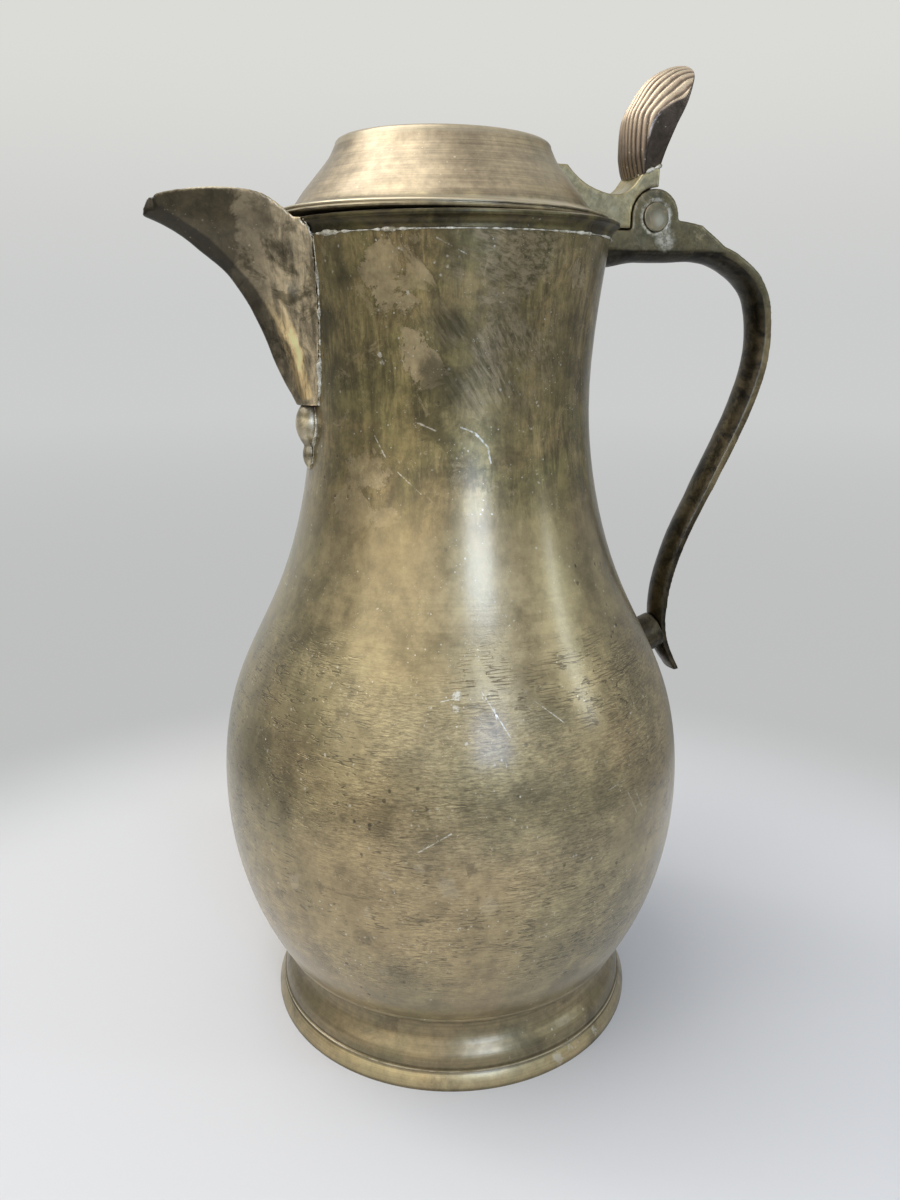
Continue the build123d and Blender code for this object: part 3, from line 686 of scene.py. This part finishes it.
def drop_finish():
    """Spout's drop: pale rubbed bead, dark below and in its grooves."""
    metal = Finish("drop_patina")
    mottle = metal.noise(210, 8, 0.7, 0.4)
    metal.base("olive", "worn", mottle, 0.36, 0.58)
    for low, high in DROP_GROOVES:
        metal.vary(metal.z.between(low, high, 0.002, 0.0015), 0, 1, 1.0, 0.5)
    return metal.done(mottle.step(0.3, 0.7, 0.36, 0.48), (mottle, 0.0002))


def cast_finish(name, level, crusted=False):
    """Cast pieces: greenish grey sides, inner faces nearly black with painted shade over patina, a crust
    round the pin.
    """
    metal = Finish(name, coat=0.2)
    mottle = metal.noise(95, 9, 0.72, 0.5)
    metal.base("cast", metal.shade("olive", 0.6), mottle, 0.36, 0.64)
    fine = metal.noise(520, 6, 0.74)
    metal.vary(fine, 0.3, 0.7, 0.7 * level, 1.22 * level)
    metal.cover("tan", metal.noise(210, 8, 0.74, 0.5).step(0.56, 0.64), 0.35)
    browned = metal.blend(mottle.step(0.38, 0.6), metal.shade("brown", 0.36), metal.shade("brown", 0.9))
    metal.cover(browned, metal.z.step(*GRIP_TOP), 0.8)
    # Painted shade over dark patina: inward and downward faces, and the underside of the top bar
    inward = metal.most(metal.facing_x * -1, metal.facing_z * -1)
    on_bar = metal.most(metal.z.step(0.2495, 0.2475), metal.x.step(0.086, 0.09))
    under = metal.z.step(0.2492, 0.2483) * metal.x.step(0.096, 0.09) * 0.95
    dark = metal.most(inward.step(0.15, 0.45) * on_bar, under)
    uneven_shade = metal.noise(130, 7, 0.72, 0.8).step(0.36, 0.62, 0.7, 1.0)
    shade_and_patina = metal.shade(metal.blend(mottle.step(0.4, 0.62), "soot_and_shade", "spout"), 0.16)
    metal.cover(shade_and_patina, dark, uneven_shade)
    roughness = mottle.step(0.3, 0.7, 0.34, 0.46)
    reliefs = [(metal.noise(55, 3), 0.0006), (fine, 0.00008)]
    if not crusted:
        return metal.done(roughness + dark * 0.1, *reliefs)
    ragged = metal.wobble(0.0045, 420, 7, 0.74)
    flat = {"X": metal.x, "Z": metal.z}
    ring = (metal.distance(flat, (HINGE[0], 0, HINGE[1])) + ragged).step(0.0059, 0.0046)
    smeared = (metal.distance(flat, SMEAR) + ragged).step(0.0042, 0.0018, 0.0, 0.75)
    broken = metal.noise(330, 7, 0.74).step(0.4, 0.56, 0.2, 1.0)
    crust = metal.most(ring, smeared) * broken * abs(metal.facing_y).step(0.5, 0.8)
    metal.cover("chalk", crust, 0.85)
    return metal.done(roughness + crust * 0.2, *reliefs)


def cap_finish():
    """Pin and its caps: greenish brown metal with a scuffed middle."""
    metal = Finish("pin_metal", coat=0.2)
    mottle = metal.noise(330, 7, 0.65, 0.5)
    metal.base("cast", metal.shade("tan", 0.7), mottle, 0.35, 0.7)
    metal.cover("chalk", metal.blot(SCUFF, 1.6, 1.4, (mottle - 0.5) * 0.006), 0.45)
    return metal.done(mottle.step(0.3, 0.7, 0.36, 0.5), (mottle, 0.00012))


def shell_finish():
    """Thumbpiece: pinkish ribs, darker low down and lighter towards the top by painted light, dark
    grooves and dark smooth flanks.
    """
    metal = Finish("thumbpiece_cast", coat=0.4)
    relief = metal.make("ShaderNodeAttribute", {}, "Fac", attribute_name="relief")
    mottle = metal.noise(240, 8, 0.7, 0.5)
    height = relief + (mottle - 0.5) * 0.9
    metal.base(metal.shade("shell", 0.25), "shell", height, 0.2, 0.85)
    # Painted light: darker low down and lighter towards the top
    metal.vary(metal.z, 0.274, 0.297, 0.5, 1.75)
    metal.cover(metal.shade("shell", mottle.step(0.3, 0.7, 0.14, 0.3)), relief.step(0.02, 0.0))
    rubbed = height.step(0.7, 1.0) * metal.z.step(0.28, 0.295) * 0.8
    metal.cover("worn", metal.most(rubbed, metal.specks(520, 0.6)))
    return metal.done(mottle.step(0.3, 0.7, 0.32, 0.46), (mottle, 0.00015))


def solder_finish():
    """Solder: pale lumpy metal, mottled with dark olive."""
    metal = Finish("pale_solder", 0.3)
    mottle = metal.noise(380, 8, 0.76, 0.4)
    metal.base(metal.shade("olive", 0.6), "chalk", mottle, 0.38, 0.58)
    metal.vary(metal.noise(90, 5, 0.66), 0.4, 0.6, 0.85, 1.2)
    return metal.done(mottle.step(0.3, 0.7, 0.4, 0.6), (mottle, 0.0002))


def add_object(name, data):
    """Puts a new object in the scene."""
    made = bpy.data.objects.new(name, data)
    bpy.context.scene.collection.objects.link(made)
    return made


def add_piece(name, shape, body, slot, material, stands_for=(), sharp=radians(35)):
    """Puts a finished shape in the scene, smooth but for its sharp edges."""
    bmesh.ops.remove_doubles(shape, verts=shape.verts, dist=0.000001)
    bmesh.ops.recalc_face_normals(shape, faces=shape.faces)
    mesh = bpy.data.meshes.new(name)
    shape.to_mesh(mesh)
    shape.free()
    mesh.shade_smooth()
    mesh.materials.append(material)
    mesh.set_sharp_from_angle(angle=sharp)
    piece = add_object(name, mesh)
    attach(piece, body)
    if stands_for:
        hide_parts(*stands_for)
    return piece


def use_finish(material, *nodes):
    """Gives CAD nodes their finish."""
    for node in nodes:
        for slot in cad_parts[node].material_slots:
            slot.material = material


def flowing(points, parts=6):
    """Points along a smooth line through the given ones."""
    line = [Vector(point) for point in points]
    ends = [2 * line[0] - line[1], *line, 2 * line[-1] - line[-2]]
    smooth = []
    for before, start, end, after in zip(ends, ends[1:], ends[2:], ends[3:]):
        leave, arrive = start + (end - before) / 6, end - (after - start) / 6
        smooth += interpolate_bezier(start, leave, arrive, end, parts + 1)[:-1]
    return smooth + [line[-1]]


def flowing_outline(outline, parts=3):
    """Outline made smooth between its points."""
    return [(point.x, point.z) for point in flowing([(r, 0, z) for r, z in outline], parts)]


def turned(outline, closed=True):
    """Shape turned about the Z axis from an outline in millimetres."""
    shape = bmesh.new()
    line = [shape.verts.new((point[0] * MM, 0, point[1] * MM)) for point in outline]
    follow = line[1:] + line[:1] if closed else line[1:]
    edges = [shape.edges.new(pair) for pair in zip(line, follow)]
    bmesh.ops.spin(
        shape, geom=line + edges, cent=(0, 0, 0), axis=(0, 0, 1), angle=2 * pi,
        steps=bpy.context.scene.pitcher_sizes.turn_steps, use_merge=True,
    )
    return shape


def cut_plane(shape, place, facing, clear=False):
    """Cuts a shape along a plane, and clears the side that it faces if asked to."""
    everything = shape.verts[:] + shape.edges[:] + shape.faces[:]
    bmesh.ops.bisect_plane(shape, geom=everything, plane_co=place, plane_no=facing, clear_outer=clear)


def cast_copy(name, node, body, slot, material, smoothing=4):
    """A cast piece with its edges worn round and its faces a little uneven."""
    sizes = bpy.context.scene.pitcher_sizes
    shape = bmesh.new()
    shape.from_mesh(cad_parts[node].data)
    piece = add_piece(name, shape, body, slot, material, [node])
    remesh = piece.modifiers.new("casting", "REMESH")
    set_up(remesh, mode="VOXEL", voxel_size=sizes.grain, use_smooth_shade=True)
    set_up(piece.modifiers.new("wear", "SMOOTH"), factor=0.5, iterations=smoothing)
    clouds = set_up(bpy.data.textures.new(name + "_lumps", "CLOUDS"), noise_scale=sizes.lump_width)
    uneven = piece.modifiers.new("lumps", "DISPLACE")
    set_up(uneven, texture=clouds, texture_coords="LOCAL", strength=sizes.lump_height * 2)


def solder_line(name, points, body, slot, material, size, closed=False):
    """A lumpy solder line through points in metres."""
    curve = bpy.data.curves.new(name, "CURVE")
    set_up(curve, dimensions="3D", bevel_depth=size, bevel_resolution=2, use_fill_caps=True)
    spline = curve.splines.new("POLY")
    spline.points.add(len(points) - 1)
    for point, spot in zip(spline.points, points):
        point.co = (*spot, 1)
        lump = sum(height * noise.noise(Vector(spot) * scale) for scale, height in SOLDER_LUMPS)
        point.radius = min(THICKEST, max(THINNEST, 0.9 + lump))
    spline.use_cyclic_u = closed
    stand_in = bpy.data.objects.new(name + "_curve", curve)
    shape = bmesh.new()
    shape.from_mesh(bpy.data.meshes.new_from_object(stand_in))
    bpy.data.objects.remove(stand_in)
    add_piece(name, shape, body, slot, material, sharp=radians(80))


def along(table, height):
    """Row of a table at a height, between its two nearest rows."""
    for low, high in zip(table, table[1:]):
        if low[0] <= height <= high[0]:
            share = (height - low[0]) / (high[0] - low[0])
            return [a + share * (b - a) for a, b in zip(low[1:], high[1:])]
    return table[-1][1:]


def heights(start, gap, count):
    """So many heights from the first one on, a gap apart."""
    return [start + step * gap for step in range(count)]


def neck_radius(height):
    """Radius of the neck's outside at a height, in millimetres."""
    return along([(z, radius) for radius, z in flowing_outline(NECK_LINE, 6)], height)[0]


def level_way(turn=0.0):
    """Level direction from the vessel's axis, turned by an angle from the camera's side."""
    side = bpy.context.scene.pitcher_stage.azimuth + turn
    return Vector((sin(side), -cos(side), 0))


class PITCHER_OT_stage(bpy.types.Operator):
    """Add the floor, the background, the soft lights and the camera"""

    bl_idname = "pitcher.stage"
    bl_label = "Stage"

    def execute(self, context):
        stage = context.scene.pitcher_stage
        context.scene.view_settings.view_transform = "Standard"
        self.add_floor(stage)
        self.add_world(context, stage)
        for lamp in LAMPS:
            self.add_light(*lamp)
        self.add_camera(context, stage)
        return {"FINISHED"}

    def far_side(self, tree, stage, direction):
        """Factor that darkens the level band behind the camera, but not for what the camera sees."""
        towards = tree.vector("DOT_PRODUCT", direction, level_way(stage.far_turn), "Value")
        level = tree.parts(direction)[2]
        band = towards.step(*DARK_ACROSS) * abs(level).step(*DARK_UPRIGHT)
        seen = tree.make("ShaderNodeLightPath", {}, "Is Camera Ray")
        return (band * seen.step(0, 1, 1, 0)).step(0, 1, 1.0, stage.far_side)

    def add_floor(self, stage):
        """A round matt floor that goes over into the background's colour."""
        shape = bmesh.new()
        bmesh.ops.create_circle(shape, cap_ends=True, radius=FLOOR_RADIUS, segments=96)
        mesh = bpy.data.meshes.new("floor")
        shape.to_mesh(mesh)
        shape.free()
        material = bpy.data.materials.new("pale_floor")
        tree = Nodes(material)
        shader = tree.nodes["Principled BSDF"]
        tree.feed(shader.inputs["Base Color"], (*stage.floor, 1))
        tree.feed(shader.inputs["Roughness"], 0.9)
        tree.feed(shader.inputs["Specular IOR Level"], 0.2)
        spot = tree.make("ShaderNodeTexCoord", {}, "Object")
        reach = tree.vector("DISTANCE", spot, level_way() * FLOOR_SHIFT, "Value")
        seen = tree.blend(reach.step(*FLOOR_GLOW), tree.shade(stage.backdrop, 0.86), stage.backdrop)
        direction = tree.make("ShaderNodeVectorMath", {0: spot}, operation="NORMALIZE")
        colour = tree.shade(seen, self.far_side(tree, stage, direction))
        glow = tree.make("ShaderNodeEmission", {"Color": colour})
        tree.surface("Material Output", reach.step(*FLOOR_EDGE), shader, glow)
        mesh.materials.append(material)
        floor = add_object("floor", mesh)

    def add_world(self, context, stage):
        """Even room light, with the background shown to the camera and to reflections."""
        world = bpy.data.worlds.new("pale_room")
        context.scene.world = world
        tree = Nodes(world)
        room = tree.nodes["Background"]
        tree.feed(room.inputs["Color"], (*stage.room_tint, 1))
        tree.feed(room.inputs["Strength"], stage.room)
        direction = tree.make("ShaderNodeTexCoord", {}, "Generated")
        sky = tree.blend(tree.parts(direction)[2].step(0.0, 0.25), stage.backdrop, stage.sky)
        colour = tree.shade(sky, self.far_side(tree, stage, direction))
        seen = tree.make("ShaderNodeBackground", {"Color": colour})
        rays = ("Is Camera Ray", "Is Glossy Ray", "Is Transmission Ray")
        shown = tree.most(*[tree.make("ShaderNodeLightPath", {}, ray) for ray in rays])
        tree.surface("World Output", shown, room, seen)

    def add_light(self, name, turn, rise, distance, width, height, power, colour):
        """One soft lamp that looks at the pitcher's middle."""
        lamp = bpy.data.lights.new(name, "AREA")
        set_up(lamp, shape="RECTANGLE", size=width, size_y=height, energy=power, color=colour)
        light = add_object(name, lamp)
        up = radians(rise)
        away = level_way(radians(turn)) * cos(up) + Vector((0, 0, sin(up)))
        light.location = Vector((0, 0, LAMP_AIM)) + away * distance
        light.rotation_euler = away.to_track_quat("Z", "Y").to_euler()

    def add_camera(self, context, stage):
        """The camera of the photograph."""
        lens = bpy.data.cameras.new("camera")
        camera = add_object("camera", set_up(lens, lens=stage.lens, sensor_width=36, clip_start=0.01))
        camera.location = level_way() * stage.distance + Vector((0, 0, stage.height))
        look = -level_way() * cos(stage.pitch) - Vector((0, 0, sin(stage.pitch)))
        turn = Matrix.Rotation(stage.roll, 4, "Z")
        camera.rotation_euler = (look.to_track_quat("-Z", "Y").to_matrix().to_4x4() @ turn).to_euler()
        context.scene.camera = camera


class PITCHER_OT_vessel(bpy.types.Operator):
    """Finish the vessel's wall and its floor"""

    bl_idname = "pitcher.vessel"
    bl_label = "Vessel"

    def execute(self, context):
        use_finish(body_finish(), "belly_bowl", "upper_body")
        use_finish(inside_finish(), "base_disc")
        return {"FINISHED"}


class PITCHER_OT_foot(bpy.types.Operator):
    """Turn the foot, with its raised line, roll and cove"""

    bl_idname = "pitcher.foot"
    bl_label = "Foot"

    def execute(self, context):
        shape = turned(FOOT_OUTSIDE + FOOT_INSIDE)
        add_piece("turned_foot", shape, "vessel", "pewter_foot", foot_finish(), ["foot_ring"])
        return {"FINISHED"}


class PITCHER_OT_collar(bpy.types.Operator):
    """Turn the rim collar and open it behind the spout"""

    bl_idname = "pitcher.collar"
    bl_label = "Rim collar"

    def execute(self, context):
        shape = turned(COLLAR_INSIDE + flowing_outline(LIP) + LIP_TOP)
        self.open_behind_spout(shape)
        add_piece("turned_collar", shape, "vessel", "pewter_body", collar_finish(), ["rim_collar"])
        return {"FINISHED"}

    def open_behind_spout(self, shape):
        """Cuts the ring between the two sides of the opening and closes its ends."""
        for side in (-1, 1):
            cut_plane(shape, (0, side * NOTCH_HALF * MM, 0), (0, 1, 0))
        middles = [(face, face.calc_center_median()) for face in shape.faces]
        inside = [face for face, middle in middles if middle.x < 0 and abs(middle.y) < NOTCH_HALF * MM]
        bmesh.ops.delete(shape, geom=inside, context="FACES")
        bmesh.ops.holes_fill(shape, edges=shape.edges, sides=0)


class PITCHER_OT_spout(bpy.types.Operator):
    """Cast the spout and its drop, with the solder lines that hold them"""

    bl_idname = "pitcher.spout"
    bl_label = "Spout"

    def execute(self, context):
        fixed = ("vessel", "pewter_spout")
        cast_copy("cast_spout", "spout", *fixed, spout_finish())
        cast_copy("cast_drop", "spout_drop", *fixed, drop_finish())
        solder = solder_finish()
        size = context.scene.pitcher_sizes.solder
        for side, word in ((-1, "near"), (1, "far")):
            seam = [self.spout_seam(height, side) for height in heights(*SPOUT_SEAM)]
            solder_line(f"spout_solder_{word}", seam, *fixed, solder, size * SPOUT_SOLDER)
            seam = [self.drop_seam(height, side) for height in heights(*DROP_SEAM)]
            solder_line(f"drop_solder_{word}", seam, *fixed, solder, size)
        return {"FINISHED"}

    def spout_seam(self, height, side):
        """Point where the spout's side meets the neck or the collar, in metres."""
        crease_x, crease_y, root_y = along(SPOUT_SIDES, height)
        on_lip = LIP[0][0] + (height - NECK_TOP) * LIP_LEAN
        radius = neck_radius(height) if height < NECK_TOP else on_lip
        low, high = 0.0, 1.0
        for _ in range(24):
            share = (low + high) / 2
            x = crease_x + share * (SPOUT_ROOT - crease_x)
            y = crease_y + share * (root_y - crease_y)
            if x * x + y * y > radius * radius:
                low = share
            else:
                high = share
        return (x * MM, side * y * MM, height * MM)

    def drop_seam(self, height, side):
        """Point where the drop meets the neck, in metres."""
        radius = neck_radius(height)
        bead = along(sorted((z, r) for r, z in DROP_LINE), height)[0]
        x = (radius**2 + DROP_AXIS**2 - bead**2) / (2 * DROP_AXIS)
        return (x * MM, side * sqrt(max(0.01, radius**2 - x**2)) * MM, height * MM)


class PITCHER_OT_handle(bpy.types.Operator):
    """Cast the handle, its strut and the lid's arm"""

    bl_idname = "pitcher.handle"
    bl_label = "Handle and hinge"

    def execute(self, context):
        crusted = cast_finish("handle_cast", 0.8, crusted=True)
        plain = cast_finish("arm_cast", 2.1)
        cast_copy("cast_handle", "handle", "vessel", "pewter_handle", crusted, 5)
        cast_copy("cast_strut", "handle_strut", "vessel", "pewter_handle", plain)
        cast_copy("cast_arm", "lid_arm", "lid", "pewter_handle", plain)
        use_finish(cap_finish(), "hinge_pin", "pin_cap_near", "pin_cap_far")
        return {"FINISHED"}


class PITCHER_OT_lid(bpy.types.Operator):
    """Turn the lid, with the bead and groove of its brim"""

    bl_idname = "pitcher.lid"
    bl_label = "Lid"

    def execute(self, context):
        shape = turned(LID_INSIDE + BRIM + flowing_outline(DOME)[1:] + CROWN, closed=False)
        base = Vector((LID_OFFSET, 0, LID_SEAT - LID_OFFSET * tan(LID_TILT))) * MM
        lean = Matrix.Translation(base) @ Matrix.Rotation(LID_TILT, 4, "Y")
        bmesh.ops.transform(shape, matrix=lean, verts=shape.verts)
        cut_plane(shape, (0, 0, LID_SEAT * MM), (0, 0, -1), clear=True)
        bmesh.ops.holes_fill(shape, edges=shape.edges, sides=0)
        add_piece("turned_lid", shape, "lid", "pewter_lid", lid_finish(), ["lid"])
        return {"FINISHED"}


class PITCHER_OT_thumbpiece(bpy.types.Operator):
    """Cast the ribbed thumbpiece and the solder at its seat"""

    bl_idname = "pitcher.thumbpiece"
    bl_label = "Thumbpiece"

    def execute(self, context):
        sizes = context.scene.pitcher_sizes
        shape = bmesh.new()
        relief = shape.verts.layers.float.new("relief")
        rings = [self.ring(shape, relief, row, sizes) for row in self.smooth_rows()]
        bmesh.ops.bridge_loops(shape, edges=[edge for ring in rings for edge in ring])
        bmesh.ops.holes_fill(shape, edges=shape.edges, sides=0)
        fixed = ("lid", "pewter_thumbpiece")
        add_piece("ribbed_thumbpiece", shape, *fixed, shell_finish(), ["thumbpiece"], radians(60))
        corners = [Vector((x, -y, z)) * MM for x, y, z in SEAT]
        corners += [Vector(corner) * MM for corner in reversed(SEAT)]
        line = [
            start.lerp(end, step / SEAT_STEPS)
            for start, end in zip(corners, corners[1:]) for step in range(SEAT_STEPS)
        ]
        solder_line("seat_solder", line, *fixed, solder_finish(), sizes.solder, closed=True)
        return {"FINISHED"}

    def smooth_rows(self):
        """The shell's sections, with smooth ones between them."""
        back = flowing([row[:3] for row in SHELL], 8)
        width = flowing([row[3:] for row in SHELL], 8)
        return [(*a, *b) for a, b in zip(back, width)]

    def ring(self, shape, relief, row, sizes):
        """One section: flat back, two flanks and a ribbed front."""
        back_x, back_z, turn, half, flank, swell = row
        depth = sizes.rib_depth / MM * min(1.0, half / FULL_RIBS)
        pitch = 2 * max(row[3] for row in SHELL) / sizes.ribs
        points = [(0.0, half * (1 - step / 4), 0.0) for step in range(9)]
        points += [(-flank * share, -half, 0.0) for share in FLANK_SHARES]
        count = sizes.ribs * RIB_POINTS
        for step in range(count + 1):
            u = -1 + 2 * step / count
            ridge = abs(sin(pi * half * u / pitch))
            out = -flank - swell * (1 - u * u) - depth * (ridge - RIB_MIDDLE)
            points.append((out, half * u, ridge))
        points += [(-flank * share, half, 0.0) for share in reversed(FLANK_SHARES)]
        made = []
        for out, across, ridge in points:
            x = back_x + out * cos(radians(turn))
            z = back_z - out * sin(radians(turn))
            vertex = shape.verts.new((x * MM, across * MM, z * MM))
            vertex[relief] = ridge
            made.append(vertex)
        return [shape.edges.new(pair) for pair in zip(made, made[1:] + made[:1])]


class PITCHER_OT_neck_solder(bpy.types.Operator):
    """Lay the solder line under the rim collar"""

    bl_idname = "pitcher.neck_solder"
    bl_label = "Neck solder"

    def execute(self, context):
        size = context.scene.pitcher_sizes.solder * RING_SOLDER
        radius, height, gap = SOLDER_RING
        turns = [radians(turn) for turn in range(gap - 180, 181 - gap)]
        ring = [(radius * cos(turn) * MM, radius * sin(turn) * MM, height * MM) for turn in turns]
        solder_line("collar_solder", ring, "vessel", "pewter_body", solder_finish(), size)
        return {"FINISHED"}


class PITCHER_PT_panel(bpy.types.Panel):
    """Lists the pitcher's pieces"""

    bl_label = "Pewter pitcher"
    bl_idname = "PITCHER_PT_panel"
    bl_space_type = "VIEW_3D"
    bl_region_type = "UI"
    bl_category = "Pitcher"

    def draw(self, context):
        for operator in OPERATORS:
            self.layout.operator(operator.bl_idname)
        for group in GROUPS:
            values = getattr(context.scene, group)
            for name in values.__annotations__:
                self.layout.prop(values, name)


GROUPS = {
    "pitcher_sizes": PitcherSizes,
    "pitcher_colours": PitcherColours,
    "pitcher_stage": PitcherStage,
}
OPERATORS = [
    PITCHER_OT_stage, PITCHER_OT_vessel, PITCHER_OT_foot, PITCHER_OT_collar, PITCHER_OT_spout,
    PITCHER_OT_handle, PITCHER_OT_lid, PITCHER_OT_thumbpiece, PITCHER_OT_neck_solder,
]


def register():
    """Adds the groups of properties, the operators and the panel."""
    for each in [*GROUPS.values(), *OPERATORS, PITCHER_PT_panel]:
        bpy.utils.register_class(each)
    for name, group in GROUPS.items():
        setattr(bpy.types.Scene, name, bpy.props.PointerProperty(type=group))


def unregister():
    """Takes them out again."""
    for name in GROUPS:
        delattr(bpy.types.Scene, name)
    for each in reversed([*GROUPS.values(), *OPERATORS, PITCHER_PT_panel]):
        bpy.utils.unregister_class(each)


def main():
    """Builds everything in order."""
    register()
    for operator in OPERATORS:
        group, name = operator.bl_idname.split(".")
        getattr(getattr(bpy.ops, group), name)()
    bpy.context.view_layer.update()


if __name__ == "__main__":
    main()
